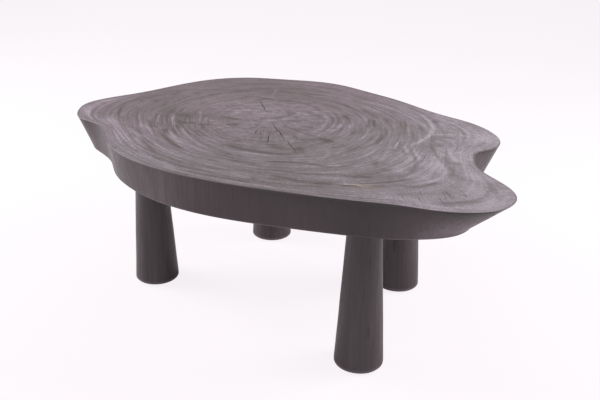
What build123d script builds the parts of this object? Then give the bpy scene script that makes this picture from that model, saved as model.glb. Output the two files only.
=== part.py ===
from build123d import *
import os

# Live-edge slab table on four turned legs.
#
# A cross-cut slice of a forked trunk, flat on both faces, stands on four tapered round legs. Each leg
# holds a glued steel stud that screws into a nut plate let into the underside of the slab, and rests on
# a felt pad. Millimetres, +Z up, origin on the floor under the middle of the slab, +X along the slab
# towards its fork.

# Whole table
table_height = 450.0

# Slab
slab_length = 1200.0
slab_width = 798.0
slab_thickness = 88.0
upper_arris = 2.0        # taken off the upper rim, down and in
lower_arris = 6.0        # taken off the lower rim, up and in

# Turned legs: straight cones, widest at the floor
foot_radius = 59.0
neck_radius = 38.5
foot_arris = 4.0
leg_places = {           # the axis of each leg
    "front_left": (-355.0, -182.0),
    "front_right": (308.0, -207.0),
    "back_right": (206.0, 171.0),
    "back_left": (-252.0, 216.0),
}

# Felt pads under the legs
pad_radius = 46.0
pad_thickness = 3.0

# Studs glued into the legs
stud_radius = 6.0
stud_in_leg = 70.0
stud_past_nut = 18.0
stud_chamfer = 1.2
glue_gap = 0.1           # between the stud and its bore
drill_spare = 4.0        # how far a blind hole runs past what it holds

# Nut plates let into the slab
plate_radius = 30.0
plate_thickness = 5.0
plate_fit = 0.3          # clearance round the plate in its recess
nut_across_flats = 18.0
nut_height = 10.0
nut_fit = 1.0            # clearance round the nut's corners
thread_fit = 0.05

# Wood screws that hold the plates
screw_circle_radius = 22.0
screws_per_plate = 4
screw_first_angle = 45.0
screw_head_radius = 4.2
screw_head_height = 2.4
screw_shank_radius = 2.1
screw_length = 30.0      # under the head
screw_fit = 0.1
head_gap = 0.6           # between the screws' heads and the leg

# The live edge, anticlockwise from the tip of the long lobe. Each point of the upper rim is a share of
# half the slab's length and of half its width. The third value is the undercut: how far the edge runs
# in there for each millimetre that it runs down.
LIVE_EDGE = [
    (1.002, -0.312, 1.10),
    (0.957, -0.117, 0.98),
    (0.862, -0.019, 0.70),
    (0.762, 0.086, 0.40),
    (0.712, 0.212, 0.20),
    (0.698, 0.272, 0.15),     # bottom of the fork
    (0.712, 0.342, 0.25),
    (0.740, 0.462, 0.40),
    (0.724, 0.568, 0.42),     # tip of the short lobe
    (0.656, 0.684, 0.40),
    (0.543, 0.771, 0.28),
    (0.378, 0.815, 0.25),
    (0.142, 0.916, 0.25),
    (-0.080, 0.976, 0.25),
    (-0.200, 1.000, 0.25),    # middle of the back
    (-0.330, 0.976, 0.25),
    (-0.500, 0.870, 0.27),
    (-0.650, 0.760, 0.28),
    (-0.767, 0.595, 0.30),
    (-0.850, 0.343, 0.30),
    (-0.920, -0.018, 0.30),
    (-0.985, -0.256, 0.45),
    (-1.000, -0.416, 0.55),   # tip of the blunt end
    (-0.965, -0.530, 0.50),
    (-0.860, -0.655, 0.34),
    (-0.765, -0.664, 0.12),   # hollow beside it
    (-0.676, -0.726, 0.15),
    (-0.566, -0.852, 0.16),
    (-0.423, -0.956, 0.15),
    (-0.240, -0.998, 0.06),
    (-0.007, -0.973, 0.01),   # middle of the front
    (0.296, -0.860, 0.07),
    (0.564, -0.719, 0.11),
    (0.693, -0.646, 0.21),
    (0.825, -0.590, 0.62),
    (0.935, -0.495, 0.94),
]

slab_under = table_height - slab_thickness
taper = (foot_radius - neck_radius) / slab_under
nut_corner_radius = nut_across_flats / 3 ** 0.5
plate_face = slab_under + head_gap + screw_head_height
plate_seat = plate_face + plate_thickness
nut_top = plate_seat + nut_height
stud_tip = nut_top + stud_past_nut
stud_foot = slab_under - stud_in_leg

standing = (Align.CENTER, Align.CENTER, Align.MIN)


def round_bar(radius, bottom, top):
    """A plain cylinder on Z between two heights."""
    return Pos(0, 0, bottom) * Cylinder(radius, top - bottom, align=standing)


def at_screws(shape):
    """Copies of a shape, one at each of a plate's screws."""
    places = PolarLocations(screw_circle_radius, screws_per_plate, screw_first_angle)
    return [place * shape for place in places]


def rim(depth, inset=0.0):
    """The slab's outline at a depth below its top, drawn in by an inset that comes on top of the undercut."""
    upper = [Vector(x * slab_length / 2, y * slab_width / 2, table_height) for x, y, _ in LIVE_EDGE]
    points = []
    spacing = [0.0]
    for index, (_, _, undercut) in enumerate(LIVE_EDGE):
        following = upper[(index + 1) % len(upper)]
        along = (following - upper[index - 1]).normalized()
        inward = Vector(-along.Y, along.X, 0)
        points.append(upper[index] + inward * (undercut * depth + inset) - Vector(0, 0, depth))
        spacing.append(spacing[-1] + (following - upper[index]).length)
    return Wire(Edge.make_spline(points, periodic=True, parameters=spacing))


def slab_top():
    """The slice of trunk, with a seat for each leg's plate, nut and screws in its underside."""
    body = Solid.make_loft([
        rim(slab_thickness, lower_arris),
        rim(slab_thickness - lower_arris),
        rim(upper_arris),
        rim(0, upper_arris),
    ], ruled=True)
    recess = round_bar(plate_radius + plate_fit, slab_under, plate_seat)
    nut_hole = round_bar(nut_corner_radius + nut_fit, slab_under, stud_tip + drill_spare)
    pilot = round_bar(screw_shank_radius + screw_fit, plate_seat, plate_face + screw_length + drill_spare)
    seat = Part() + [recess, nut_hole, *at_screws(pilot)]
    return body - [Pos(x, y, 0) * seat for x, y in leg_places.values()]


def leg():
    """A turned leg, bored from above for its stud."""
    cone = Cone(foot_radius - taper * pad_thickness, neck_radius, slab_under - pad_thickness, align=standing)
    cone = Pos(0, 0, pad_thickness) * chamfer(cone.edges().group_by(Axis.Z)[0], foot_arris)
    return cone - round_bar(stud_radius + glue_gap, stud_foot - drill_spare, slab_under)


def leg_stud():
    """The threaded rod that joins a leg to its plate, at the thread's outer size."""
    rod = round_bar(stud_radius, stud_foot, stud_tip)
    return chamfer(rod.edges().group_by(Axis.Z)[-1], stud_chamfer)


def mounting_plate():
    """A steel disc with a nut welded on, tapped right through and drilled for its screws."""
    disc = round_bar(plate_radius, plate_face, plate_seat)
    nut = Pos(0, 0, plate_seat) * extrude(RegularPolygon(nut_corner_radius, 6), nut_height)
    thread = round_bar(stud_radius + thread_fit, plate_face, nut_top)
    screw_hole = round_bar(screw_shank_radius + screw_fit, plate_face, plate_seat)
    return disc + nut - [thread, *at_screws(screw_hole)]


def plate_screws():
    """The round-headed wood screws that hold one plate, points up."""
    head = round_bar(screw_head_radius, plate_face - screw_head_height, plate_face)
    shank = round_bar(screw_shank_radius, plate_face, plate_face + screw_length)
    return Compound(at_screws(head + shank))


def foot_pad():
    """A stiff felt disc stuck under a leg."""
    return round_bar(pad_radius, 0, pad_thickness)


def main():
    os.makedirs("parts", exist_ok=True)
    export_step(slab_top(), "parts/slab_top.step")
    for name, (x, y) in leg_places.items():
        pieces = {
            "leg": leg(),
            "leg_stud": leg_stud(),
            "mounting_plate": mounting_plate(),
            "plate_screws": plate_screws(),
            "foot_pad": foot_pad(),
        }
        for kind, piece in pieces.items():
            export_step(Pos(x, y, 0) * piece, f"parts/{kind}_{name}.step")


main()
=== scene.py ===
import math

import bpy
import numpy as np
from mathutils import Matrix, Vector, noise


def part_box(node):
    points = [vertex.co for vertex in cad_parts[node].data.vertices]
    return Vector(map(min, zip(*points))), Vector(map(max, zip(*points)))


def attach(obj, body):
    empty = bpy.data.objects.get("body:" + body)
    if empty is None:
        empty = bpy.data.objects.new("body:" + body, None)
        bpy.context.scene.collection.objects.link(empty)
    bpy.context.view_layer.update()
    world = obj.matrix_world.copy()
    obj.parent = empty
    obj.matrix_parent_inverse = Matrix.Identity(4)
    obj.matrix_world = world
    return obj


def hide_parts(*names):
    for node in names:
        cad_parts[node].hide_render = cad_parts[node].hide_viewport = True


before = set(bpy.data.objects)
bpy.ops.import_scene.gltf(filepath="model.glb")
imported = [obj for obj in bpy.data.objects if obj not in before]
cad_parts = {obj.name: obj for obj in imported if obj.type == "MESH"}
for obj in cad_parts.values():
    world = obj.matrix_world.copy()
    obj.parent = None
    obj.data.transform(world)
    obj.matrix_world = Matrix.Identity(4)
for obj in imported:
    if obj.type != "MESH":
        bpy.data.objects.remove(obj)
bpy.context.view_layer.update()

# Everything is in metres.
HEART = np.array([-0.115, 0.015])        # the pith of the trunk, seen from above
COLUMNS = 576                            # round the slab; a half and a quarter of them nearer the heart
TOP_ROWS = 176                           # from the heart to the rim
UPPER_ARRIS = 0.0024
LOWER_ARRIS = 0.006
SOLID_ARRISES = 0.002, 0.006             # how far the solid's outlines lie inside its two faces
RING_SPAN = 0.48                         # what the ring attribute comes to at the rim
SHARP = math.radians(35)                 # edges sharper than this aren't smoothed
PLACES = ("front_left", "front_right", "back_right", "back_left")

# Under the long lobe's tip the solid's lower rim is cramped, and is smoothed: the tip's bearing from the
# heart and the spread of the smoothing in degrees, and the turns that it is averaged over
TIP_BEARING = -12
TIP_SPREAD = 3
TIP_TURNS = np.radians(np.linspace(-2.5, 2.5, 11))

# Seats cut for the fittings: radii first
PLATE_RECESS = 0.0303
NUT_HOLE = 0.0114
PILOT_HOLE = 0.0022
STUD_BORE = 0.0061
NUT_HEIGHT = 0.010
PILOT_DEPTH = 0.034                      # above the plate's lower face
DRILL_SPARE = 0.004
KNIFE_OVERLAP = 0.001
KNIFE_PAST = 0.01                        # below the slab

# Legs
NECK_RADIUS = 0.0385
FOOT_RADIUS = 0.059                      # where the taper would meet the floor
FOOT_ARRIS = 0.005
LEG_COLUMNS = 128
LEG_ROWS = 56

# M12 studs
STUD_CREST = 0.006
STUD_ROOT = 0.00495
STUD_PITCH = 0.00175
STUD_CHAMFER = 0.0012

# Wood screws, and the circle that they stand on
HEAD_RADIUS = 0.0042
HEAD_HEIGHT = 0.0024
SCREW_NECK = 0.0019
SCREW_CREST = 0.0021
SCREW_ROOT = 0.0014
SCREW_PITCH = 0.0018
SCREW_CIRCLE = 0.022
SCREWS = 4
FIRST_SCREW = 45                         # degrees

under, top = (corner.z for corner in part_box("slab_top"))


# ---------------------------------------------------------------- finishes

class Varying:
    """A value that varies over a surface. Arithmetic on it adds Math nodes."""

    def __init__(self, nodes, socket):
        self.nodes = nodes
        self.socket = socket

    def maths(self, operation, *terms):
        return self.nodes.add("ShaderNodeMath", {"operation": operation}, dict(enumerate(terms)))

    def __add__(self, other):
        return self.maths("ADD", self, other)

    def __radd__(self, other):
        return self.maths("ADD", other, self)

    def __sub__(self, other):
        return self.maths("SUBTRACT", self, other)

    def __rsub__(self, other):
        return self.maths("SUBTRACT", other, self)

    def __mul__(self, other):
        return self.maths("MULTIPLY", self, other)

    def __rmul__(self, other):
        return self.maths("MULTIPLY", other, self)

    def __truediv__(self, other):
        return self.maths("DIVIDE", self, other)

    def __rtruediv__(self, other):
        return self.maths("DIVIDE", other, self)

    def step(self, low, high):
        """0 below low, 1 above high and smooth between them."""
        return self.nodes.add("ShaderNodeMapRange", {"interpolation_type": "SMOOTHSTEP"},
                              {"Value": self, "From Min": low, "From Max": high})


class Nodes:
    """A node tree under construction."""

    def __init__(self, tree):
        self.tree = tree

    def add(self, kind, settings=None, values=None, output=0):
        """Adds a node, sets it up, feeds its sockets and returns one of its outputs."""
        node = self.tree.nodes.new(kind)
        for name, setting in (settings or {}).items():
            if name == "stops":
                self.set_stops(node.color_ramp, setting)
            else:
                setattr(node, name, setting)
        for key, value in (values or {}).items():
            socket = self.find(node.inputs, key)
            for each in value if isinstance(value, list) else [value]:
                if isinstance(each, Varying):
                    self.tree.links.new(each.socket, socket)
                else:
                    socket.default_value = each
        return Varying(self, self.find(node.outputs, output)) if node.outputs else None

    @staticmethod
    def find(sockets, key):
        if isinstance(key, int):
            return sockets[key]
        return next(s for s in sockets if key in (s.identifier, s.name) and s.enabled)

    @staticmethod
    def set_stops(ramp, stops):
        while len(ramp.elements) < len(stops):
            ramp.elements.new(0.5)
        for element, (position, colour) in zip(ramp.elements, stops):
            element.position = position
            element.color = (*colour, 1)


class Finish(Nodes):
    """A material, or the world, under construction."""

    def __init__(self, name, owners="materials"):
        self.owner = getattr(bpy.data, owners).new(name)
        self.owner.use_nodes = True
        self.owner.node_tree.nodes.clear()
        super().__init__(self.owner.node_tree)

    def place(self, stretch=(1, 1, 1), shift=(0, 0, 0)):
        """The point on the piece, moved and then stretched along each axis."""
        here = self.add("ShaderNodeTexCoord", output="Object")
        moved = self.add("ShaderNodeVectorMath", {"operation": "SUBTRACT"}, {0: here, 1: shift})
        return self.add("ShaderNodeVectorMath", {"operation": "MULTIPLY"}, {0: moved, 1: stretch})

    def cloud(self, where, scale=1.0, detail=2.0, roughness=0.5, distortion=0.0):
        """Smooth noise about zero."""
        values = {"Vector": where, "Scale": scale, "Detail": detail, "Roughness": roughness,
                  "Distortion": distortion}
        return self.add("ShaderNodeTexNoise", None, values, "Fac") - 0.5

    def attribute(self, name):
        return self.add("ShaderNodeAttribute", {"attribute_name": name}, output="Fac")

    def tint(self, tone, stops):
        return self.add("ShaderNodeValToRGB", {"stops": stops}, {"Fac": tone}, "Color")

    def stained(self, colour, how_much, stain):
        """A colour multiplied by a stain, where how_much is 1."""
        return self.add("ShaderNodeMix", {"data_type": "RGBA", "blend_type": "MULTIPLY"},
                        {"Factor_Float": how_much, "A_Color": colour, "B_Color": (*stain, 1)}, "Result_Color")

    def relief(self, height, distance):
        values = {"Height": height, "Distance": distance, "Strength": 1.0}
        return self.add("ShaderNodeBump", None, values, "Normal")

    def surface(self, **values):
        """Ends the material in one shader; underscores in the names stand for spaces."""
        values = {name.replace("_", " "): value for name, value in values.items()}
        return self.end(self.add("ShaderNodeBsdfPrincipled", None, values, "BSDF"))

    def end(self, shader, output="ShaderNodeOutputMaterial"):
        self.add(output, None, {"Surface": shader})
        return self.owner


def charred_end_grain():
    """Blackened cross-cut wood: growth rings round the heart, fine rays across them."""
    f = Finish("charred_end_grain")
    names = ("ring", "figure", "burl", "core", "ringed", "worn", "rosy", "rayed", "ochre")
    ring, figure, burl, core, ringed, worn, rosy, rayed, ochre = map(f.attribute, names)
    away = f.place((1, 1, 0), (HEART[0], HEART[1], 0))
    around = f.add("ShaderNodeVectorMath", {"operation": "NORMALIZE"}, {0: away}, "Vector")
    wander = f.cloud(f.place(), 9.0, 4.0)
    waver = f.cloud(f.place(), 34.0, 3.0)
    knot = f.cloud(f.place(), 24.0, 3.0)
    year = ring + 0.011 * wander + 0.0045 * waver + 0.035 * burl * knot

    def along_rings(turn, pitch, detail, at=year):
        """Noise drawn out along the rings: a few streaks to a turn, one ring to a pitch."""
        height = f.add("ShaderNodeCombineXYZ", None, {"Z": at * (1 / pitch)})
        where = f.add("ShaderNodeVectorMath", {"operation": "MULTIPLY_ADD"},
                      {0: around, 1: (turn, turn, 0), 2: height})
        return f.cloud(where, 1.0, detail)

    fine = along_rings(2.6, 0.0042, 2.0)
    middle = along_rings(1.5, 0.013, 2.0)
    thin = along_rings(1.9, 0.0085, 1.0).step(0.09, 0.19)
    contour = along_rings(2.2, 0.016, 1.0)
    hair = 1 - contour.maths("ABSOLUTE", contour).step(0.006, 0.055)
    broad = along_rings(1.2, 0.06, 1.0)
    rays = along_rings(30.0, 0.12, 1.0, ring)
    outer = ring.step(0.04, 0.2)
    speckle = f.cloud(f.place(), 310.0, 2.0)
    smudge = f.cloud(f.place(), 8.0, 5.0)
    mottle = f.cloud(f.place((1, 1.6, 1)), 55.0, 3.0)
    patchy = f.cloud(f.place((1, 1, 1), (0.2, 0.5, 0)), 14.0, 1.0).step(-0.12, 0.12)
    split = f.add("ShaderNodeVectorRotate", {"rotation_type": "Z_AXIS"},
                  {"Vector": f.place(), "Angle": math.radians(-34)}, "Vector")
    split = f.add("ShaderNodeVectorMath", {"operation": "MULTIPLY"}, {0: split, 1: (15.0, 75.0, 0)})
    streak = f.cloud(split, 1.0, 3.0, 0.6, 0.3)

    lines = ringed * (1.15 * fine + 0.55 * middle - 0.24 * thin - 0.2 * hair * patchy)
    # The figure attribute holds the listed streaks and the broad areas, some of them painted sheen.
    tone = (0.53 + lines + 0.35 * ringed * broad + (0.2 + 0.45 * rayed - 0.15 * outer) * rays + 0.85 * speckle
            + 0.45 * smudge + (0.35 + 0.45 * burl + 0.6 * core) * mottle + 1.05 * core * streak
            + figure * (1.05 + 0.7 * fine) + 0.1 * worn)
    # The top's colours are lighter than the live edge's, partly the end grain's own tone and partly painted
    # sheen standing in for the pale studio's reflection on the flat top.
    colour = f.tint(tone, [(0.0, (0.036, 0.024, 0.022)), (0.35, (0.089, 0.069, 0.071)),
                           (0.65, (0.147, 0.123, 0.139)), (1.0, (0.276, 0.241, 0.270))])
    colour = f.stained(f.stained(colour, rosy, (1.0, 0.91, 0.96)), ochre, (1.05, 1.0, 0.78))
    rough = 0.52 - 0.16 * fine + 0.1 * smudge
    relief = f.relief(lines + 0.25 * speckle + 0.5 * figure, 0.0009)
    return f.surface(Base_Color=colour, Roughness=rough, Normal=relief)


def charred_side():
    """The live edge, stripped of bark, sanded and blackened: long fibres that run down it."""
    f = Finish("charred_side")
    worn = f.attribute("worn")
    shade = f.attribute("shade")
    fibre = f.cloud(f.place((150.0, 150.0, 12.0)), 1.0, 3.0)
    broad = f.cloud(f.place((12.0, 12.0, 8.0)), 1.0, 4.0)
    speckle = f.cloud(f.place(), 380.0, 3.0)
    # The shade attribute is painted light and shade: lighter where the lamps fall on the edge, darker under the
    # rim and in the hollow.
    tone = 0.41 + (0.22 + 0.9 * shade) * fibre + 0.26 * broad + 0.4 * speckle + 0.3 * worn + shade
    colour = f.tint(tone, [(0.0, (0.023, 0.015, 0.0172)), (0.5, (0.054, 0.038, 0.0438)),
                           (1.0, (0.130, 0.096, 0.110))])
    relief = f.relief(fibre + 0.3 * speckle, 0.0007)
    return f.surface(Base_Color=colour, Roughness=0.5 - 0.2 * fibre, Normal=relief)


def check_wall_painted_shade():
    """The inside of a drying check, near black as painted shade for the shade deep in the narrow check."""
    f = Finish("check_wall_painted_shade")
    fibre = f.cloud(f.place((200.0, 200.0, 30.0)), 1.0, 2.0)
    colour = f.tint(0.5 + fibre, [(0.0, (0.008, 0.007, 0.007)), (1.0, (0.034, 0.028, 0.031))])
    return f.surface(Base_Color=colour, Roughness=0.8)


def charred_leg():
    """Turned wood, grain up the leg, blackened and rubbed back."""
    f = Finish("charred_leg")
    worn = f.attribute("worn")
    fibre = f.cloud(f.place((170.0, 170.0, 5.0)), 1.0, 3.0)
    figure = f.cloud(f.place((42.0, 42.0, 2.6)), 1.0, 3.0, distortion=0.4)
    split = f.cloud(f.place((120.0, 120.0, 7.0), (0.3, 0.7, 0.2)), 1.0, 1.0)
    speckle = f.cloud(f.place(), 500.0, 2.0)
    tone = 0.42 + 0.42 * fibre + 0.42 * figure + 0.25 * speckle + 0.55 * worn - 0.5 * split.step(0.16, 0.24)
    colour = f.tint(tone, [(0.0, (0.021, 0.0145, 0.0165)), (0.5, (0.050, 0.037, 0.0416)),
                           (1.0, (0.118, 0.091, 0.103))])
    relief = f.relief(fibre + 0.5 * figure - 0.8 * split.step(0.16, 0.24), 0.0008)
    return f.surface(Base_Color=colour, Roughness=0.48 - 0.2 * fibre, Normal=relief)


def zinc(name, shade):
    """Plated steel with a faint mottle."""
    f = Finish(name)
    spangle = f.cloud(f.place(), 260.0, 3.0)
    colour = f.tint(0.5 + spangle, [(0.0, tuple(0.72 * c for c in shade)), (1.0, shade)])
    return f.surface(Base_Color=colour, Metallic=1.0, Roughness=0.34 + 0.25 * spangle,
                     Normal=f.relief(spangle, 0.0002))


def pressed_felt():
    f = Finish("pressed_felt")
    hair = f.cloud(f.place(), 900.0, 3.0, distortion=1.5)
    colour = f.tint(0.5 + hair, [(0.0, (0.010, 0.009, 0.009)), (1.0, (0.045, 0.040, 0.042))])
    return f.surface(Base_Color=colour, Roughness=0.95, Normal=f.relief(hair, 0.0006))


# ---------------------------------------------------------------- shapes

def points_of(piece):
    flat = np.empty(len(piece.data.vertices) * 3, np.float32)
    piece.data.vertices.foreach_get("co", flat)
    return flat.reshape(-1, 3).astype(float)


def loop_round(height):
    """The slab's outline at one height, closely divided, as offsets from the heart."""
    corners = points_of(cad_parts["slab_top"])
    ring = corners[np.abs(corners[:, 2] - height) < 2e-5][:, :2] - HEART
    _, order = np.unique(np.round(np.arctan2(ring[:, 1], ring[:, 0]), 5), return_index=True)
    ring = ring[order]
    chord = np.linalg.norm(np.roll(ring, -1, 0) - ring, axis=1)[:, None]
    earlier = np.roll(chord, 1, 0)
    rate_before = (ring - np.roll(ring, 1, 0)) / earlier
    rate_after = (np.roll(ring, -1, 0) - ring) / chord
    slope = (rate_before * chord + rate_after * earlier) / (chord + earlier)
    t = (np.arange(24) / 24)[None, :, None]
    start, leave = ring[:, None], (slope * chord)[:, None]
    stop, arrive = np.roll(ring, -1, 0)[:, None], (np.roll(slope, -1, 0) * chord)[:, None]
    curve = ((2 * t ** 3 - 3 * t ** 2 + 1) * start + (t ** 3 - 2 * t ** 2 + t) * leave
             + (3 * t ** 2 - 2 * t ** 3) * stop + (t ** 3 - t ** 2) * arrive)
    return curve.reshape(-1, 2)


def reach(loop, angle):
    """How far a loop lies from the heart at each angle."""
    return np.interp(angle, np.arctan2(loop[:, 1], loop[:, 0]), np.hypot(*loop.T), period=math.tau)


def reach_below(loop, angle):
    """The same for the lower outline, smoothed under the long lobe's tip."""
    plain = reach(loop, angle)
    smooth = np.mean([reach(loop, angle + turn) for turn in TIP_TURNS], axis=0)
    return plain + np.exp(-((np.degrees(angle) - TIP_BEARING) / TIP_SPREAD) ** 2) * (smooth - plain)


def ripple(points, scale, seed):
    """Smooth noise about zero at each point."""
    shift = Vector((seed * 7.3, seed * 3.1, seed * 5.7))
    return np.array([noise.noise(Vector(point) * scale + shift) for point in points])


class Rings:
    """The growth rings: round at the heart, and nearer the slab's outline the nearer they are to it."""

    SHARES = np.linspace(0, 1, 221)

    def __init__(self, outline):
        count = 1024
        self.angles = np.arange(count) / count * math.tau
        waves = np.fft.rfft(reach(outline, self.angles))
        orders = np.arange(len(waves))
        self.table = np.array([share * np.fft.irfft(waves * share ** orders, count) for share in self.SHARES])

    def radius(self, share, angle):
        row = share * (len(self.SHARES) - 1)
        low = min(int(row), len(self.SHARES) - 2)
        mixed = self.table[low] * (1 - (row - low)) + self.table[low + 1] * (row - low)
        return np.interp(angle, self.angles, mixed, period=math.tau)

    def share(self, points):
        """Which ring each point lies on: 0 at the heart, 1 at the outline."""
        away = points[:, :2] - HEART
        distance = np.hypot(*away.T)
        column = np.mod(np.arctan2(away[:, 1], away[:, 0]), math.tau) / math.tau * len(self.angles)
        low = column.astype(int) % len(self.angles)
        part = (column - column.astype(int))[None, :]
        table = self.table[:, low] * (1 - part) + self.table[:, (low + 1) % len(self.angles)] * part
        above = np.clip((table < distance[None, :]).sum(0), 1, len(self.SHARES) - 1)
        inner = np.take_along_axis(table, (above - 1)[None, :], 0)[0]
        outer = np.take_along_axis(table, above[None, :], 0)[0]
        rest = np.clip((distance - inner) / np.maximum(outer - inner, 1e-9), 0, 1)
        return (above - 1 + rest) / (len(self.SHARES) - 1)


def make_piece(name, points, faces, materials, slots=None):
    mesh = bpy.data.meshes.new(name)
    mesh.from_pydata([tuple(p) for p in points], [], faces)
    for material in materials:
        mesh.materials.append(material)
    if slots is not None:
        mesh.polygons.foreach_set("material_index", slots)
    mesh.validate()
    piece = bpy.data.objects.new(name, mesh)
    bpy.context.scene.collection.objects.link(piece)
    return piece


def give(piece, name, values):
    attribute = piece.data.attributes.new(name, "FLOAT", "POINT")
    attribute.data.foreach_set("value", np.asarray(values, np.float32))


def grid_faces(counts):
    """Faces between closed rows of points, each below the last and with as many points or twice as many."""
    made = []
    first = 0
    for count, below in zip(counts, counts[1:]):
        second = first + count
        for column in range(count):
            a, b = first + column, first + (column + 1) % count
            if below == count:
                made.append((a, a + count, b + count, b))
            else:
                low = [second + (2 * column + i) % below for i in range(3)]
                made += [(a, low[0], low[1]), (a, low[1], b), (b, low[1], low[2])]
        first = second
    return made


def settle(piece):
    piece.data.shade_smooth()
    piece.data.set_sharp_from_angle(angle=SHARP)


# Drying checks in the top: the width of each at the face, its depth and its points, all in millimetres
CHECKS = """
2.0 8: -96,4 -62,-26 -28,-52 -5,-74 14,-93
1.9 7: 10,-81 40,-106 61,-121 76,-137
2.2 8: -237,137 -219,121 -198,101 -176,81 -154,62
1.8 5: -39,9 4,3 53,-7
1.7 6: -97,56 -91,85 -87,107
1.7 5: -98,-54 -86,-78 -78,-96
1.7 6: -61,-54 -44,-81 -30,-103 -12,-133
2.4 3: -246,145 -234,162 -215,169
1.2 3: -40,-39 -21,-57
1.2 3: -82,-61 -63,-92
1.3 3: 432,-125 453,-140 472,-164 482,-175
1.1 3: 463,-103 482,-113 498,-126 510,-137
1.0 3: 485,-126 501,-133 511,-140
1.1 3: 402,-157 418,-175 430,-185
1.1 3: 421,-191 435,-209 444,-216
1.0 3: 388,-206 402,-219 414,-229
1.0 3: 452,-130 470,-146 483,-161
1.1 3: 463,-133 479,-148 493,-163
1.0 3: 457,-169 471,-184 481,-195
"""

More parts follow.
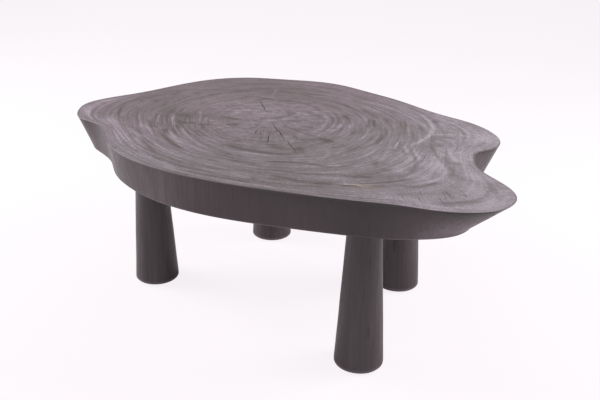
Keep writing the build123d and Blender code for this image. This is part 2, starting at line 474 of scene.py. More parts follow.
# Light and dark streaks in the top's figure: the half width of each in millimetres, how much lighter or
# darker it is, and its points in millimetres
FIGURE = """
blunt end
12 0.28: -574,-182 -554,-204 -527,-223 -491,-234 -454,-239 -416,-256 -374,-281 -332,-303 -295,-322
9 0.15: -568,-79 -574,-107 -579,-126
8 0.11: -526,-212 -461,-222 -420,-236
6 -0.32: -564,-136 -560,-142
5 -0.32: -588,-160 -585,-168
4.5 -0.30: -516,-46 -514,-71 -513,-101 -502,-129 -488,-146 -471,-165 -456,-190
5 -0.17: -541,-60 -543,-95 -536,-130 -520,-160
6 -0.28: -459,63 -463,46 -466,29
5 -0.40: -462,-34 -459,-44
5 -0.36: -494,-58 -488,-66
4 -0.27: -429,-29 -421,-51 -416,-68
13 -0.23: -420,88 -412,76
8 -0.25: -374,100 -368,92
13 -0.25: -381,50 -373,42
10 -0.19: -346,32 -340,22
4 -0.34: -441,-126 -429,-143 -410,-165 -388,-184 -366,-201
3.5 0.23: -427,-138 -404,-165 -379,-184 -358,-202 -337,-216
4 -0.27: -396,-126 -379,-146
3.5 -0.27: -382,-118 -366,-137 -349,-157
3.5 0.21: -371,-123 -343,-154 -329,-168
8 -0.25: -364,-170 -348,-178 -328,-192 -309,-206
7 0.21: -351,-199 -331,-212 -314,-224
4 -0.28: -360,-37 -352,-57 -343,-73
3.5 0.21: -302,-37 -280,-62 -262,-88
3.5 0.21: -352,-84 -332,-107 -316,-129
4 0.19: -364,-131 -348,-151 -328,-167
6 -0.21: -321,-62 -302,-84 -285,-112
13 -0.32: -289,-128 -281,-136
3.5 0.17: -460,-157 -454,-173 -443,-184
5 -0.30: -482,-183 -476,-187
5 -0.17: -497,-138 -457,-181 -430,-203
5 -0.17: -391,-38 -371,-70 -340,-100
3.5 0.15: -409,-112 -390,-140 -368,-158
front, left
4 -0.34: -368,-229 -350,-234 -335,-240 -316,-248 -300,-256
3 -0.27: -337,-263 -317,-270 -301,-280
3 -0.22: -331,-273 -314,-284
4 -0.18: -309,-167 -289,-181 -270,-201
8 -0.22: -287,-192 -273,-203 -262,-212
5 -0.16: -298,-212 -281,-223 -264,-231
3.5 -0.24: -273,-223 -262,-228 -248,-235 -226,-248 -209,-259 -187,-267 -170,-273 -156,-278
5 -0.26: -281,-278 -264,-289 -242,-302 -220,-314 -198,-326 -176,-331
3.5 -0.26: -170,-327 -142,-333 -114,-338 -87,-335 -67,-333 -45,-327 -17,-324 8,-317
4 -0.16: -281,-312 -262,-320 -242,-334 -220,-342 -201,-342
3.5 -0.24: -114,-356 -73,-356 -45,-349 -17,-345 24,-335 52,-326
3.5 -0.16: -81,-369 -51,-366 -3,-362 24,-353
5 -0.26: -60,-372 15,-358 48,-350 95,-340
11 0.12: -281,-320 -253,-334 -231,-345 -198,-362 -170,-370
8 0.14: -114,-373 -92,-378
4 -0.20: -228,-153 -214,-156 -198,-162 -178,-166
4 -0.27: -201,-182 -184,-192 -170,-201 -159,-207 -142,-212 -126,-215 -109,-213
4 -0.16: -270,-167 -253,-181
3.5 -0.17: -164,-231 -142,-237 -126,-242 -106,-246
3.5 0.11: -156,-226 -131,-232 -108,-235
4 -0.24: -87,-252 -59,-250 -45,-248 -17,-246
7 -0.17: -50,-234 -44,-237
4.5 -0.27: -120,-194 -92,-195 -64,-194 -37,-193 -3,-189 24,-180 52,-170 84,-153
3.5 0.12: -92,-204 -45,-204 -9,-199 40,-184
3.5 0.12: -242,-195 -209,-214 -181,-224 -160,-227
3.5 0.11: -231,-220 -203,-239 -176,-251
4 0.09: -253,-242 -226,-262 -198,-276 -170,-287
4 0.10: -126,-271 -87,-273 -53,-274 -10,-268
4 -0.13: -134,-288 -76,-292 -30,-282
8 -0.13: -20,-262 20,-250 46,-240
front, right
4 -0.53: 56,-217 76,-207 94,-195 113,-185 128,-178
5 -0.38: 128,-178 147,-174 165,-170 184,-168
4 -0.40: 92,-256 107,-248 126,-243 144,-235
4 -0.27: 144,-235 171,-227 197,-211 218,-198 244,-187 262,-178
7 -0.32: 110,-282 134,-277 160,-272 176,-274 197,-266
7 -0.44: 208,-266 228,-252 244,-241
5 -0.23: 250,-239 271,-235 284,-224
5 -0.21: 110,-301 139,-293
5 -0.30: 81,-316 94,-319
4 0.21: 257,-229 278,-219 292,-214
6 -0.32: 276,-174 292,-161
3.5 0.17: 76,-156 99,-140
3 0.14: 160,-122 197,-151
4 -0.30: 260,-79 271,-101
11 -0.17: 290,-100 302,-112
round the heart
5 -0.44: -244,139 -231,152 -214,167
8 -0.42: -227,-41 -201,-32 -172,-25
4 -0.30: -53,-2 -11,-9 29,-15 69,-22
4 -0.30: -104,34 -100,82 -93,119
6 -0.40: -181,-77 -171,-65 -157,-59
5 0.22: -252,-80 -223,-74 -204,-65
4 0.20: -190,-122 -177,-98 -163,-83
6 0.20: -225,11 -208,23
4 -0.18: -204,-41 -182,-31
5 -0.29: -166,-15 -142,-6 -132,19
4.5 -0.37: -121,30 -109,42 -97,55
9 0.34: -119,10 -112,18
6 0.11: -114,-14 -102,8
5 -0.26: -80,32 -63,45 -48,45
4.5 -0.33: -72,78 -64,68
5 0.15: -59,86 -50,82
4 -0.24: -58,96 -49,95
4 0.13: -37,74 -23,72
5 -0.31: -53,117 -30,119 -16,115
3.5 0.29: -69,146 -52,149 -23,138 0,117 20,83 30,49 33,10
3 0.24: 1,86 5,93 15,83 22,66 16,64
3 -0.22: -12,147 12,126 28,101 40,66 45,24
3 0.16: -10,155 17,130 33,105 44,76 48,39
3.5 -0.24: -15,168 21,139 40,110 52,74
3.5 0.18: 11,158 43,131 55,108 61,72 64,37
5 -0.35: 21,158 52,148
4 -0.20: 62,111 74,67 76,31
4.5 0.16: 68,126 85,84 91,40 91,3
6 -0.24: 29,-60 53,-42 71,-24
10 -0.66: 69,-22 104,-26
4.5 -0.39: 5,-45 25,-55
6 0.13: 27,24 36,39
11 -0.29: -6,-132 17,-134 39,-134
12 -0.33: 57,-106 81,-123
4 -0.33: -102,-199 -60,-194 -21,-186 22,-175 60,-157 92,-127
3.5 0.10: -13,-206 33,-189 69,-170 98,-147
4 -0.29: -232,-151 -199,-172 -163,-190 -124,-199 -91,-202
3.5 0.13: -223,-149 -183,-171 -145,-188 -112,-190
4 -0.29: -252,-159 -191,-200 -143,-219 -97,-227 -46,-230
4 0.16: -269,-154 -212,-192 -169,-216 -120,-233
5 -0.29: -285,-201 -232,-241 -188,-262 -141,-279
4 0.17: -281,-187 -226,-225 -179,-245
7 -0.37: -291,-136 -266,-129 -254,-108
6 -0.33: -239,-121 -226,-107 -211,-101
12 -0.24: -326,-85 -287,-95
3.5 0.18: -307,-32 -272,-71 -241,-110
4 0.18: -351,-91 -318,-130 -281,-163
4 -0.20: -362,-99 -322,-145 -277,-184
3.5 -0.17: -347,-80 -321,-111 -291,-139
7 -0.18: -508,29 -463,85 -380,153 -286,208 -187,253 -84,291
6 0.15: -137,243 -106,280 -60,286
5 -0.26: -210,164 -164,183 -120,187 -80,176 -46,161
11 0.11: -210,129 -181,153 -147,165 -104,164 -71,156
18 0.07: -265,88 -214,77
6 0.11: -269,16 -238,32 -198,56
4 -0.18: -217,26 -193,50
6 0.18: -235,-20 -214,2
4 -0.22: -224,-66 -195,-60
5 -0.55: -168,-68 -161,-64
4 -0.22: -174,-100 -162,-84 -153,-72
5 -0.22: -129,-82 -111,-60 -95,-39
6 -0.28: -93,-42 -79,-36
5 -0.15: -124,-31 -109,-30
4 0.09: -103,-91 -91,-69
4 -0.24: -49,-46 -47,-32
4 -0.18: -65,2 -45,0
4 -0.22: -22,-37 -21,-18
5 -0.20: -17,30 10,31
5 0.11: -13,-2 16,-9
8 -0.13: -166,-135 -123,-142 -87,-140
4 -0.20: -102,-175 -79,-150
5 0.09: -230,143 -206,152
2.6 0.26: -235,200 -248,229 -260,255
right of the heart
5 -0.16: 108,88 114,60 112,30
3.5 -0.35: 106,177 120,152 131,130
3.5 -0.21: 95,169 109,141 123,111
3 0.14: 114,148 124,130 134,114
5 0.18: 151,100 155,74 148,49 144,30 141,11 140,-8
4 0.15: 151,-46 154,-70 156,-92
4 0.17: 134,-87 146,-110 145,-131 131,-153
4.5 -0.26: 159,138 179,111 191,74 195,41 206,19
4 -0.38: 170,-4 172,-28 173,-53
4 -0.22: 156,-12 162,-37 170,-59
6 -0.14: 140,-20 133,-50 128,-66
3.5 -0.22: 179,213 198,174 217,138 234,99
3.5 -0.19: 167,208 184,174 195,158
3 0.14: 186,216 206,178 224,140
3.5 0.14: 148,204 168,176 180,148
3.5 0.18: 226,82 246,50
4 0.12: 206,100 220,66 230,40 238,0
4 -0.13: 210,60 216,20 224,-30 222,-80
4 0.14: 236,-10 240,-60 232,-110 212,-150
7 -0.18: 216,224 230,199 241,180 252,152
where the trunk forks, and the two lobes
5.5 0.36: 191,288 227,254 253,222 267,190 276,156 277,127 277,96 274,72
6 0.22: 277,61 295,34 314,16 332,-3
3 -0.30: 272,61 295,28 318,-3 332,-27 343,-53 351,-80 351,-107 344,-123
20 0.14: 343,-25 365,-24
6 0.26: 371,1 390,-8 407,-28 416,-54 417,-80 412,-99 400,-118
3.5 0.22: 277,162 294,178 315,193 339,204
3.5 -0.26: 283,147 308,163 333,179
6 -0.21: 292,124 303,141 324,149
8 -0.23: 323,98 333,111
4 -0.26: 306,100 331,68 354,37 382,9
5 -0.23: 365,45 384,22 408,17 422,21
5 0.20: 350,103 377,64 397,43 416,34
3.5 -0.21: 265,274 299,256 329,235 353,199 365,154 371,108
5 0.14: 285,268 319,249 350,224 371,185
17 0.15: 386,223 421,208
9 -0.14: 407,193 404,163
5 -0.32: 232,276 247,247
4 -0.19: 242,273 270,217
4.5 -0.42: 377,-165 396,-153 408,-134 419,-114 426,-101
3.5 0.22: 370,-151 389,-140 400,-119 416,-92
2.6 -0.26: 452,-130 470,-146 483,-161
4.5 -0.25: 473,-196 488,-185 507,-168 521,-153 535,-142
7 -0.26: 482,-204 502,-197
5 -0.26: 514,-188 518,-185
3.5 -0.18: 436,-39 456,-52 477,-51 493,-46
7 -0.23: 403,-4 423,-26 432,-56
4 -0.12: 518,-61 540,-71 559,-90 565,-116
3.5 0.14: 532,-51 554,-61 574,-85 581,-111
6 0.20: 287,-220 305,-212 316,-194
3 -0.35: 262,-241 276,-227 295,-221
4 -0.23: 255,-193 272,-175 289,-159 305,-135
5 -0.14: 328,-172 346,-146 366,-128
6 -0.30: 259,-98 260,-68
3.5 0.27: 229,74 248,31
3 -0.23: 235,78 256,34
3.5 0.29: 262,53 286,21
3 -0.23: 263,35 284,9
5 -0.21: 244,13 265,15
4 0.22: 179,112 202,61 211,16 217,-29 219,-73
4 -0.23: 171,106 189,66 194,29 189,0 186,-38
4 0.15: 237,32 252,-30 262,-85
4 -0.14: 266,-36 278,-95
3.5 -0.30: 92,176 130,117
3 -0.26: 102,181 136,128
2.6 0.17: 97,180 135,121
3 -0.30: 124,206 145,182
3 -0.23: 160,223 218,126
3 -0.21: 167,232 226,132
14 -0.18: 197,195 240,185
6 0.13: 5,317 72,300 137,283 192,263
4 -0.19: 37,279 101,272 150,267
3.5 0.15: 72,294 132,274 181,249 224,211
4 -0.16: 22,224 63,223 109,195
5 -0.26: 200,311 208,313
4 0.12: -21,269 19,266 89,242
13 0.26: 462,-224 494,-214 519,-199 541,-179 558,-153 566,-126
10 -0.13: 378,20 408,7 430,-28 446,-62
14 0.15: -500,-193 -440,-222 -375,-255 -310,-287 -250,-310
15 -0.20: -345,-98 -300,-74 -262,-50
back
6 -0.13: -377,51 -350,88 -318,116
6 -0.15: -399,12 -368,104 -301,227 -207,297 -98,341
4.5 -0.25: -185,264 -112,283 -47,284
4.5 -0.17: -230,232 -150,250 -60,246 20,226
6 -0.15: -401,177 -331,268 -230,330 -126,357
5 0.20: -172,323 -110,334
5 -0.28: -178,340 -120,352 -96,348
5 -0.23: -160,306 -100,314
6 0.10: -320,4 -293,57
5 0.14: -86,300 -20,300 60,286
5 -0.21: -60,330 30,322 110,300
5 -0.23: 30,240 62,224 96,196
5 0.17: -28,214 4,200 24,186
9 -0.21: 20,180 44,150
4 -0.19: 72,229 121,184 150,140
7 -0.17: 206,262 237,232 251,200
4 -0.17: 128,330 190,300 240,262
"""

# Broad lighter and darker areas of the top, partly the wood's own tone and partly painted sheen, such as the
# lighter lobes on the right where the lamps' reflection falls: the middle of each and its reach along X and Y
# in millimetres, and how much lighter or darker it is
TONE_AND_SHEEN_PATCHES = [
    (-380, -110, 120, 110, -0.17),
    (-244, -65, 80, 70, -0.10),
    (-300, 210, 240, 120, -0.21),
    (-10, 315, 150, 50, 0.10),
    (190, 300, 120, 50, 0.10),
    (0, 90, 60, 60, -0.10),
    (0, -95, 110, 60, -0.12),
    (80, -280, 200, 60, -0.07),
    (-140, 90, 110, 60, 0.09),
    (340, -20, 110, 100, 0.17),
    (415, 60, 40, 40, 0.15),
    (384, -33, 36, 42, 0.16),
    (445, -5, 50, 40, 0.12),
    (505, -120, 110, 100, 0.14),
    (575, -120, 50, 70, 0.20),
    (370, 220, 100, 90, 0.26),
    (330, -240, 170, 60, 0.10),
    (430, -240, 120, 40, 0.10),
    (-500, 0, 90, 100, -0.20),
    (237, 212, 40, 50, 0.21),
    (350, 0, 40, 40, 0.14),
    (355, -97, 50, 24, 0.24),
    (392, 96, 45, 35, 0.20),
    (499, -21, 40, 25, 0.20),
    (-10, 0, 45, 40, -0.08),
    (-165, -149, 50, 40, -0.07),
    (99, 0, 25, 50, -0.08),
    (-6, -162, 60, 25, -0.08),
    (-243, 82, 60, 45, 0.09),
]


def listed(text):
    """The points and the two sizes on each line of a list. A line with no colon is a heading."""
    for line in text.splitlines():
        if ":" in line:
            sizes, points = line.split(":")
            yield points, *map(float, sizes.split())


def traced(line):
    """The points of a line written in millimetres, in metres."""
    return np.array(line.replace(",", " ").split(), float).reshape(-1, 2) / 1000


def wedge(line, width, depth):
    """A V-shaped knife along a line in the top, thin at both ends."""
    proud = 0.004
    line, width, depth = traced(line), width / 1000, depth / 1000
    lengths = np.r_[0, np.cumsum(np.linalg.norm(np.diff(line, axis=0), axis=1))]
    count = max(4, int(lengths[-1] / 0.01))
    steps = np.linspace(0, lengths[-1], count + 1)
    spine = np.stack([np.interp(steps, lengths, line[:, 0]), np.interp(steps, lengths, line[:, 1])], 1)
    along = np.gradient(spine, axis=0)
    along /= np.linalg.norm(along, axis=1)[:, None]
    across = np.stack([-along[:, 1], along[:, 0]], 1)
    spine[1:-1] += across[1:-1] * ripple([(*p, 0.0) for p in spine[1:-1]], 70.0, 3)[:, None] * 0.003
    full = np.sin(np.linspace(0, math.pi, count + 1)) ** 0.6
    full[[0, -1]] = 0.12
    points = []
    for middle, side, share in zip(spine, across, full):
        deep = depth * share
        half = 0.5 * width * share * (deep + proud) / deep
        left, right = middle + side * half, middle - side * half
        points += [(*left, top + proud), (*right, top + proud), (*middle, top - deep)]
    faces = [(0, 2, 1), (3 * count, 3 * count + 1, 3 * count + 2)]
    for i in range(0, 3 * count, 3):
        faces += [(i, i + 1, i + 4, i + 3), (i + 1, i + 2, i + 5, i + 4), (i + 2, i, i + 3, i + 5)]
    return points, faces


def post(x, y, radius, low, high, sides=48):
    """A closed cylinder."""
    turn = [math.tau * i / sides for i in range(sides)]
    points = [(x + radius * math.cos(a), y + radius * math.sin(a), z) for z in (low, high) for a in turn]
    faces = [tuple(reversed(range(sides))), tuple(range(sides, 2 * sides))]
    faces += [(i, (i + 1) % sides, sides + (i + 1) % sides, sides + i) for i in range(sides)]
    return points, faces


def joined(parts):
    points, faces = [], []
    for part_points, part_faces in parts:
        faces += [tuple(i + len(points) for i in face) for face in part_faces]
        points += part_points
    return points, faces


def settled(piece, modifier):
    """Makes what the modifier gives the piece's own mesh."""
    result = bpy.data.meshes.new_from_object(piece.evaluated_get(bpy.context.evaluated_depsgraph_get()))
    piece.modifiers.remove(modifier)
    piece.data = result


def cut(piece, knife):
    """Takes the knife's solids out of the piece."""
    modifier = piece.modifiers.new("cut", "BOOLEAN")
    modifier.operation = "DIFFERENCE"
    modifier.solver = "MANIFOLD"
    modifier.object = knife
    settled(piece, modifier)
    bpy.data.objects.remove(knife)


def near_line(points, line):
    """Each point's distance from a line through several points, and how far along it that is, 0 to 1."""
    line = traced(line)
    lengths = np.linalg.norm(np.diff(line, axis=0), axis=1)
    best = np.full(len(points), 9.0)
    along = np.zeros(len(points))
    run = 0.0
    for a, b, length in zip(line[:-1], line[1:], lengths):
        t = np.clip(((points - a) @ (b - a)) / length ** 2, 0, 1)
        distance = np.linalg.norm(points - a - t[:, None] * (b - a), axis=1)
        closer = distance < best
        best[closer] = distance[closer]
        along[closer] = (run + t[closer] * length) / lengths.sum()
        run += length
    return best, along


def painted_side_light(place, depth):
    """Painted light and shade on the live edge: how much lighter or darker each point is painted, at a share of
    its depth, where the lamps light the edge and where the rim and the left hollow shade it.
    """
    x, y = place.T

    def near(middle, spread):
        return np.exp(-((x - middle) / spread) ** 2)

    front = np.clip(0.5 - y / 0.2, 0, 1)
    right = np.clip((x - 0.02) / 0.16, 0, 1)
    tip = np.clip((x - 0.455) / 0.09, 0, 1)
    blunt = np.clip((-0.30 - x) / 0.15, 0, 1)
    fork = near(0.44, 0.06) * np.exp(-((y - 0.13) / 0.07) ** 2)
    rim = math.exp(-depth / 0.06)
    # Painted shade just under the rim at the front right, the tip and the fork, in a band near the middle of
    # the front and in the left hollow; painted light on the front left, the blunt end, the fork wall and the
    # tip lower down; a painted highlight on the ridge by the hollow.
    shown = (right * (0.2 * tip - 0.32) * math.exp(-depth / 0.28) + tip * (0.9 * depth - 0.45 * rim)
             - 0.28 * near(0.335, 0.05) + 0.22 * near(-0.11, 0.09) - 0.45 * near(-0.38, 0.04)
             + 0.35 * near(-0.315, 0.012))
    return front * shown + 0.16 * blunt + (0.22 - 0.3 * rim) * fork - 0.1 * math.exp(-depth / 0.12)


def make_slab():
    upper_rim = top - SOLID_ARRISES[0]
    upper, lower = loop_round(upper_rim), loop_round(under + SOLID_ARRISES[1])
    length = np.r_[0, np.cumsum(np.linalg.norm(np.roll(upper, -1, 0) - upper, axis=1))]
    closed = np.vstack([upper, upper[:1]])
    spaced = np.arange(COLUMNS) / COLUMNS * length[-1]
    rim = np.array([np.interp(spaced, length, closed[:, k]) for k in (0, 1)]).T
    angle = np.arctan2(rim[:, 1], rim[:, 0])
    wide, narrow = reach(upper, angle), reach_below(lower, angle)
    step = np.roll(rim, -1, 0) - np.roll(rim, 1, 0)
    outward = np.stack([step[:, 1], -step[:, 0]], 1) / np.linalg.norm(step, axis=1)[:, None]
    square = np.sum(outward * rim, axis=1) / np.hypot(*rim.T)
    skew = 1 / np.clip(square, 0.45, 1)
    ray = np.stack([np.cos(angle), np.sin(angle)], 1)

    face = ray * (wide - UPPER_ARRIS * skew)[:, None]
    rings = Rings(face[np.argsort(angle)])
    rows, worn, shade = [], [], []

    # dark is the painted light and shade given to each row of the edge.
    def row(radius, height, wear_and_light, dark=0.0):
        every = COLUMNS // len(radius)
        rows.append(np.column_stack([HEART + ray[::every] * radius[:, None], height + np.zeros(len(radius))]))
        worn.append(np.full(len(radius), wear_and_light))
        shade.append(dark + np.zeros(len(radius)))

    # Rows on the rim and the arrises are made lighter, partly rubbed wear and partly a painted highlight where
    # the rounded edges catch the light.
    for share in np.linspace(0.012, 1, TOP_ROWS):
        every = 4 if share < 0.16 else 2 if share < 0.42 else 1
        row(rings.radius(share, angle[::every]), top, 0.0 if share < 0.995 else 0.6)
    place = HEART + ray * wide[:, None]
    for turn in np.radians([72, 54, 36, 18]):
        row(wide - UPPER_ARRIS * (1 - math.cos(turn)) * skew, top - UPPER_ARRIS * (1 - math.sin(turn)), 0.4,
            painted_side_light(place, 0))
    side_low = under + LOWER_ARRIS
    side_high = top - UPPER_ARRIS
    for share in (0, 0.035, 0.1, 0.2, 0.32, 0.46, 0.62, 0.8, 1):
        height = side_high + (side_low - side_high) * share
        radius = wide + (narrow - wide) * (upper_rim - height) / (upper_rim - side_low)
        spots = np.column_stack([HEART + ray * radius[:, None], np.full(COLUMNS, height * 0.25)])
        flutes = 0.5 + ripple(spots, 22.0, 1) + 0.35 * ripple(spots, 60.0, 2)
        depth = 0.0013 * math.sin(math.pi * min(1, share + 0.08)) ** 0.5
        row(radius - np.clip(flutes, 0, 1.2) * depth * skew, height, 0.5 if share == 0 else 0.0,
            painted_side_light(place, share))
    for turn in np.radians([20, 42, 66, 90]):
        inset = LOWER_ARRIS * (1 - math.cos(turn)) * skew
        row(narrow - inset, under + LOWER_ARRIS * (1 - math.sin(turn)), 0.8, painted_side_light(place, 1))
    for share in (0.985, 0.93, 0.8, 0.6, 0.4, 0.2):
        row((narrow - LOWER_ARRIS * skew) * share, under, 0.0)

    counts = [len(r) for r in rows]
    total = sum(counts)
    top_points = sum(counts[:TOP_ROWS - 1])
    points = np.vstack([*rows, [[*HEART, top], [*HEART, under]]])
    on_top = np.zeros(len(points), bool)
    on_top[:top_points] = True
    on_top[-2] = True
    sag = 0.5 + ripple(points[on_top] * (1, 1, 0), 7.0, 4) + 0.4 * ripple(points[on_top] * (1, 1, 0), 30.0, 5)
    points[on_top, 2] -= 0.0009 * np.clip(sag, 0, 1.4)

    faces = grid_faces(counts)
    side_from, side_to = top_points, total - 7 * COLUMNS
    slots = [1 if side_from <= min(face) < side_to else 0 for face in faces]
    faces += [(total, i, (i + 1) % counts[0]) for i in range(counts[0])]
    faces += [(total + 1, total - COLUMNS + (i + 1) % COLUMNS, total - COLUMNS + i) for i in range(COLUMNS)]
    slots += [0] * (counts[0] + COLUMNS)
    woods = [charred_end_grain(), charred_side(), check_wall_painted_shade()]
    slab = make_piece("live_edge_slab", points, faces, woods, slots)
    give(slab, "worn", np.r_[np.concatenate(worn), 0, 0])
    give(slab, "shade", np.r_[np.concatenate(shade), 0, 0])

    shallow, deep = [wedge(*check) for check in listed(CHECKS)], []
    for name in PLACES:
        centre = sum((Vector(corner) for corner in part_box("leg_" + name)), Vector()) / 2
        plate_low, plate_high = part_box("mounting_plate_" + name)
        seat = plate_high.z - NUT_HEIGHT
        shallow.append(post(centre.x, centre.y, PLATE_RECESS, under - KNIFE_PAST, seat))
        deep.append(post(centre.x, centre.y, NUT_HOLE, seat - KNIFE_OVERLAP,
                         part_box("leg_stud_" + name)[1].z + DRILL_SPARE, 32))
        for screw in range(SCREWS):
            turn = math.radians(FIRST_SCREW + 360 / SCREWS * screw)
            x, y = centre.x + SCREW_CIRCLE * math.cos(turn), centre.y + SCREW_CIRCLE * math.sin(turn)
            deep.append(post(x, y, PILOT_HOLE, seat - KNIFE_OVERLAP, plate_low.z + PILOT_DEPTH, 16))
    for knives in (shallow, deep):
        cut_points, cut_faces = joined(knives)
        # The cut faces take the third material, near black as painted shade in the checks and seats.
        cut(slab, make_piece("knives", cut_points, cut_faces, woods, np.full(len(cut_faces), 2)))

    where = points_of(slab)
    share = rings.share(where)
    give(slab, "ring", share * RING_SPAN)
    plan = where[:, :2]
    burl = np.exp(-(((plan[:, 0] - 0.345) / 0.075) ** 2 + ((plan[:, 1] - 0.165) / 0.11) ** 2))
    give(slab, "burl", burl)
    give(slab, "core", np.clip((0.5 - share) / 0.14, 0, 1) * np.clip(0.8 - plan[:, 0] / 0.3, 0.4, 1)
         * np.clip(0.8 + plan[:, 1] / 0.1, 0.45, 1))
    figure = np.zeros(len(plan))
    for line, width, tone in listed(FIGURE):
        distance, along = near_line(plan, line)
        ends = np.clip(0.4 + np.minimum(along, 1 - along) * 4, 0, 1)
        figure += tone * ends * np.exp(-(distance / width * 1000) ** 2)
    # The broad areas are partly the wood's own tone and partly painted sheen.
    for x, y, along_x, along_y, tone in TONE_AND_SHEEN_PATCHES:
        away = (plan * 1000 - (x, y)) / (along_x, along_y)
        figure += tone * np.exp(-np.sum(away ** 2, axis=1))
    give(slab, "figure", figure)
    give(slab, "rosy", np.clip((0.16 - plan[:, 0] + 0.6 * plan[:, 1]) / 0.3, 0, 1))
    give(slab, "ochre", np.exp(-(near_line(plan, "286,-222 305,-211 325,-207")[0] / 0.013) ** 2))
    bearing = np.degrees(np.arctan2(plan[:, 1] - HEART[1], plan[:, 0] - HEART[0]))
    ringed = np.interp(bearing, [-180, -150, -120, -80, -40, -10, 20, 50, 80, 120, 160],
                       [0.6, 0.75, 1.0, 1.0, 0.85, 0.65, 0.65, 0.65, 0.6, 0.6, 0.6], period=360)
    lobes = np.clip((plan[:, 0] - 0.34) / 0.1, 0, 1)
    fan = np.interp(bearing, [-180, -160, -130, -40, -10, 10, 60, 100, 150],
                    [0.3, 0.6, 1, 1, 0.5, 0.2, 0, 0, 0.2], period=360)
    give(slab, "rayed", fan * np.clip((share - 0.03) / 0.08, 0, 1) * np.clip((0.42 - share) / 0.12, 0, 1))
    give(slab, "ringed", ringed * np.clip((share - 0.16) / 0.27, 0.12, 1) * (1 - 0.6 * burl)
         * (1 - 0.6 * lobes))
    settle(slab)
    return slab


def turned_leg(name, wood):
    """A tapered leg with a bore for its stud, the wood moved a little out of round."""
    low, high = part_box("leg_" + name)
    x, y = (low.x + high.x) / 2, (low.y + high.y) / 2
    foot = (high.x - low.x) / 2
    bore_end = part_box("leg_stud_" + name)[0].z - DRILL_SPARE
    slope = (FOOT_RADIUS - NECK_RADIUS) / high.z
    profile = [(STUD_BORE, bore_end), (STUD_BORE, high.z), (NECK_RADIUS - 0.0012, high.z),
               (NECK_RADIUS - 0.0004, high.z - 0.0004)]
    for z in np.linspace(high.z - 0.0016, low.z + FOOT_ARRIS, LEG_ROWS):
        profile.append((NECK_RADIUS + slope * (high.z - z), z))
    for turn in np.radians([18, 36, 54, 72, 90]):
        profile.append((foot + 0.0004 - slope * FOOT_ARRIS - FOOT_ARRIS * (1 - math.cos(turn)),
                        low.z + FOOT_ARRIS * (1 - math.sin(turn))))
    profile.append((0.03, low.z))
    angles = np.arange(LEG_COLUMNS) / LEG_COLUMNS * math.tau
    rows, wear_and_light = [], []
    for index, (radius, z) in enumerate(profile):
        ring = np.column_stack([np.cos(angles), np.sin(angles)])
        outside = 4 <= index < len(profile) - 1
        moved = np.zeros(LEG_COLUMNS)
        if outside:
            spots = [(x + c * 0.05, y + s * 0.05, z * 0.35) for c, s in ring]
            moved = np.clip(0.5 + ripple(spots, 26.0, 6) + 0.4 * ripple(spots, 75.0, 7), 0, 1.3)
        rows.append(np.column_stack([np.array([x, y]) + ring * (radius - 0.0007 * moved)[:, None],
                                     np.full(LEG_COLUMNS, z)]))
        # The foot's rounded edge is made lighter, partly rubbed wear and partly a painted highlight.
        near_foot = math.exp(-((z - low.z - 0.004) / 0.0045) ** 2) if outside else 0.0
        wear_and_light.append(np.full(LEG_COLUMNS, near_foot))
    count = len(rows)
    points = np.vstack([*rows, [[x, y, bore_end], [x, y, low.z]]])
    faces = grid_faces([LEG_COLUMNS] * count)
    total = count * LEG_COLUMNS
    last = total - LEG_COLUMNS
    faces += [(total, i, (i + 1) % LEG_COLUMNS) for i in range(LEG_COLUMNS)]
    faces += [(total + 1, last + (i + 1) % LEG_COLUMNS, last + i) for i in range(LEG_COLUMNS)]
    leg = make_piece("turned_leg_" + name, points, faces, [wood])
    give(leg, "worn", np.r_[np.concatenate(wear_and_light), 0, 0])
    settle(leg)
    return leg


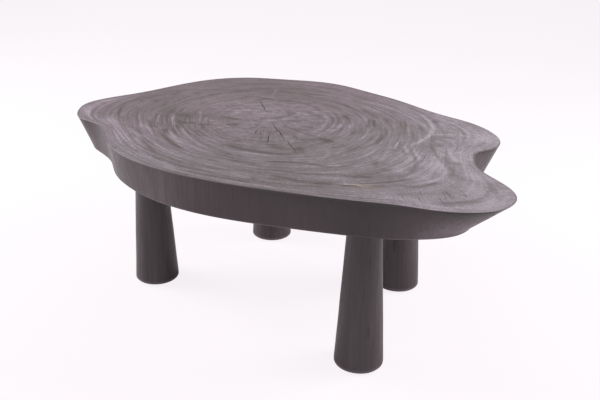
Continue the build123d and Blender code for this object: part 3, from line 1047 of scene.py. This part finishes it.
def threading():
    """The tree that winds a thread round a turned blank and sets copies of it in a circle."""
    tree = bpy.data.node_groups.new("threading", "GeometryNodeTree")
    kinds = {"Blank": "Geometry", "Thread from": "Float", "Thread length": "Float", "Pitch": "Float",
             "Root radius": "Float", "Crest radius": "Float", "Circle radius": "Float", "Copies": "Int",
             "Metal": "Material"}
    for name, kind in kinds.items():
        tree.interface.new_socket(name, in_out="INPUT", socket_type="NodeSocket" + kind)
    tree.interface.new_socket("Fitting", in_out="OUTPUT", socket_type="NodeSocketGeometry")
    g = Nodes(tree)
    given = tree.nodes.new("NodeGroupInput")
    size = {name: Varying(g, given.outputs[name]) for name in kinds}
    path = g.add("GeometryNodeCurveSpiral", None,
                 {"Resolution": 20, "Rotations": size["Thread length"] / size["Pitch"],
                  "Start Radius": size["Root radius"], "End Radius": size["Root radius"],
                  "Height": size["Thread length"]}, "Curve")
    upright = g.add("GeometryNodeSetCurveNormal", {"mode": "Z_UP"}, {"Curve": path}, "Curve")
    depth = size["Crest radius"] - size["Root radius"]
    flank = 0.42 * size["Pitch"]
    ridge = g.add("GeometryNodeCurvePrimitiveQuadrilateral", {"mode": "KITE"},
                  {"Width": 2 * depth, "Bottom Height": flank, "Top Height": flank}, "Curve")
    wound = g.add("GeometryNodeCurveToMesh", None,
                  {"Curve": upright, "Profile Curve": ridge, "Fill Caps": True}, "Mesh")
    lift = g.add("ShaderNodeCombineXYZ", None, {"Z": size["Thread from"]})
    raised = g.add("GeometryNodeTransform", None, {"Geometry": wound, "Translation": lift}, "Geometry")
    one = g.add("GeometryNodeJoinGeometry", None, {"Geometry": [size["Blank"], raised]})
    turn = g.add("GeometryNodeInputIndex") * (math.tau / size["Copies"]) + math.radians(FIRST_SCREW)
    spot = g.add("ShaderNodeCombineXYZ", None, {"X": size["Circle radius"] * turn.maths("COSINE", turn),
                                                "Y": size["Circle radius"] * turn.maths("SINE", turn)})
    circle = g.add("GeometryNodePoints", None, {"Count": size["Copies"], "Position": spot})
    copies = g.add("GeometryNodeInstanceOnPoints", None, {"Points": circle, "Instance": one})
    solid = g.add("GeometryNodeRealizeInstances", None, {"Geometry": copies})
    dressed = g.add("GeometryNodeSetMaterial", None, {"Geometry": solid, "Material": size["Metal"]})
    g.add("NodeGroupOutput", None, {"Fitting": dressed})
    return tree


thread_tree = threading()


def turned_blank(profile, sides):
    """A closed solid turned on Z, from pairs of a radius and a height, foot first."""
    turn = [math.tau * i / sides for i in range(sides)]
    points = [(r * math.cos(a), r * math.sin(a), z) for r, z in reversed(profile) for a in turn]
    faces = grid_faces([sides] * len(profile))
    faces += [tuple(range(sides)), tuple(reversed(range(len(points) - sides, len(points))))]
    return points, faces


def threaded(name, profile, sides, place, metal, drive=None, **sizes):
    """A fitting that is turned, threaded and repeated, set at a place; drive is a hole cut in its head."""
    points, faces = turned_blank(profile, sides)
    piece = make_piece(name, points, faces, [metal])
    if drive:
        cut(piece, make_piece("drive", *drive, [metal]))
    modifier = piece.modifiers.new("thread", "NODES")
    modifier.node_group = thread_tree
    sizes = {key.replace("_", " "): value for key, value in sizes.items()} | {"Metal": metal}
    for item in thread_tree.interface.items_tree:
        if item.name in sizes:
            modifier[item.identifier] = sizes[item.name]
    settled(piece, modifier)
    piece.data.transform(Matrix.Translation(place))
    settle(piece)
    return piece


def foot_of(node):
    """The lowest point on a fitting's axis, and the fitting's length."""
    low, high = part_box(node)
    return ((low.x + high.x) / 2, (low.y + high.y) / 2, low.z), high.z - low.z


def leg_stud(name, metal):
    """An M12 threaded rod, chamfered at its upper end."""
    place, length = foot_of("leg_stud_" + name)
    profile = [(STUD_ROOT, 0), (STUD_ROOT, length - STUD_CHAMFER), (STUD_ROOT - 0.0008, length)]
    return threaded("threaded_stud_" + name, profile, 40, place, metal, Thread_from=0.001,
                    Thread_length=length - STUD_CHAMFER - 0.002, Pitch=STUD_PITCH, Root_radius=STUD_ROOT,
                    Crest_radius=STUD_CREST, Circle_radius=0.0, Copies=1)


def wood_screws(name, metal):
    """The round-headed screws of one plate, points up, each with a square hole in its head."""
    place, length = foot_of("plate_screws_" + name)
    head = HEAD_HEIGHT
    turns = np.radians([12, 28, 44, 60, 76, 90])
    dome = [(HEAD_RADIUS * math.sin(a), head - head * math.cos(a)) for a in turns]
    profile = [*dome, (SCREW_NECK, head + 0.0002), (SCREW_NECK, head + 0.004), (SCREW_ROOT, head + 0.005),
               (SCREW_ROOT, length - 0.005), (0.0002, length)]
    return threaded("wood_screws_" + name, profile, 24, place, metal, post(0, 0, 0.0014, -0.001, 0.0015, 4),
                    Thread_from=head + 0.006, Thread_length=length - head - 0.012, Pitch=SCREW_PITCH,
                    Root_radius=SCREW_ROOT, Crest_radius=SCREW_CREST, Circle_radius=SCREW_CIRCLE, Copies=SCREWS)


# ---------------------------------------------------------------- the table

def fit(piece, node):
    """Puts a piece in the place of a CAD node."""
    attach(piece, "root")
    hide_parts(node)


fit(make_slab(), "slab_top")

leg_wood = charred_leg()
steel = zinc("zinc_plate", (0.62, 0.62, 0.63))
rod_steel = zinc("zinc_rod", (0.68, 0.67, 0.64))
brassy = zinc("yellow_zinc", (0.72, 0.62, 0.38))
felt = pressed_felt()
for name in PLACES:
    fit(turned_leg(name, leg_wood), "leg_" + name)
    fit(leg_stud(name, rod_steel), "leg_stud_" + name)
    fit(wood_screws(name, brassy), "plate_screws_" + name)
    for kind, material in (("mounting_plate_", steel), ("foot_pad_", felt)):
        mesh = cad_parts[kind + name].data
        mesh.materials.clear()
        mesh.materials.append(material)


# ---------------------------------------------------------------- studio

def area_light(name, place, target, size, power):
    light = bpy.data.lights.new(name, "AREA")
    light.shape = "DISK"
    light.size, light.energy = size, power
    lamp = bpy.data.objects.new(name, light)
    lamp.location = place
    lamp.rotation_euler = (Vector(target) - Vector(place)).to_track_quat("-Z", "Y").to_euler()
    bpy.context.scene.collection.objects.link(lamp)


area_light("left_softbox", (-2.6, -0.9, 1.9), (0, 0, 0.4), 1.8, 100)
area_light("right_softbox", (1.75, 1.35, 1.6), (0.3, 0, 0.4), 1.4, 62)


def pale_world():
    f = Finish("pale_studio", "worlds")
    seen = f.add("ShaderNodeLightPath", output="Is Camera Ray")
    mirrored = f.add("ShaderNodeLightPath", output="Is Glossy Ray")
    through = f.add("ShaderNodeLightPath", output="Is Transmission Ray")
    shown = seen.maths("MAXIMUM", seen, mirrored.maths("MAXIMUM", mirrored, through))
    colour = f.add("ShaderNodeMix", {"data_type": "RGBA"},
                   {"Factor_Float": shown, "A_Color": (1, 0.975, 0.985, 1), "B_Color": (1, 0.965, 0.99, 1)},
                   "Result_Color")
    sky = f.add("ShaderNodeBackground", None, {"Color": colour, "Strength": 0.42 + 0.58 * shown}, "Background")
    return f.end(sky, "ShaderNodeOutputWorld")


def pale_floor():
    f = Finish("pale_floor")
    seen = f.add("ShaderNodeLightPath", output="Is Camera Ray")
    paint = f.add("ShaderNodeBsdfDiffuse", None, {"Color": (0.86, 0.82, 0.845, 1)}, "BSDF")
    glow = f.add("ShaderNodeEmission", None, {"Color": (1, 0.955, 0.99, 1), "Strength": 1.01}, "Emission")
    return f.end(f.add("ShaderNodeMixShader", None, {0: 0.87 * seen, 1: paint, 2: glow}, "Shader"))


def set_camera(place, heading, pitch, roll):
    """A camera at a place, turned to a heading in plan, tipped down by the pitch and rolled."""
    camera = bpy.data.objects.new("camera", bpy.data.cameras.new("camera"))
    camera.data.lens = 50.0
    camera.data.sensor_width = 36.0
    camera.data.clip_end = 60
    flat = math.cos(pitch)
    forward = Vector((heading[0] * flat, heading[1] * flat, -math.sin(pitch))).normalized()
    level = Vector((heading[1], -heading[0], 0)).normalized()
    above = level.cross(forward).normalized()
    right = level * math.cos(roll) + above * math.sin(roll)
    upward = above * math.cos(roll) - level * math.sin(roll)
    turned = Matrix((right, upward, -forward)).transposed().to_4x4()
    camera.matrix_world = Matrix.Translation(place) @ turned
    bpy.context.scene.collection.objects.link(camera)
    bpy.context.scene.camera = camera


bpy.context.scene.world = pale_world()
corners = [(x, y, -0.0002) for x, y in ((-14, -14), (14, -14), (14, 14), (-14, 14))]
floor = make_piece("floor", corners, [(0, 1, 2, 3)], [pale_floor()])
set_camera((1.1031, -1.6411, 1.1544), (-0.559, 0.829), math.radians(24.381), math.radians(0.775))
bpy.context.scene.view_settings.view_transform = "Standard"
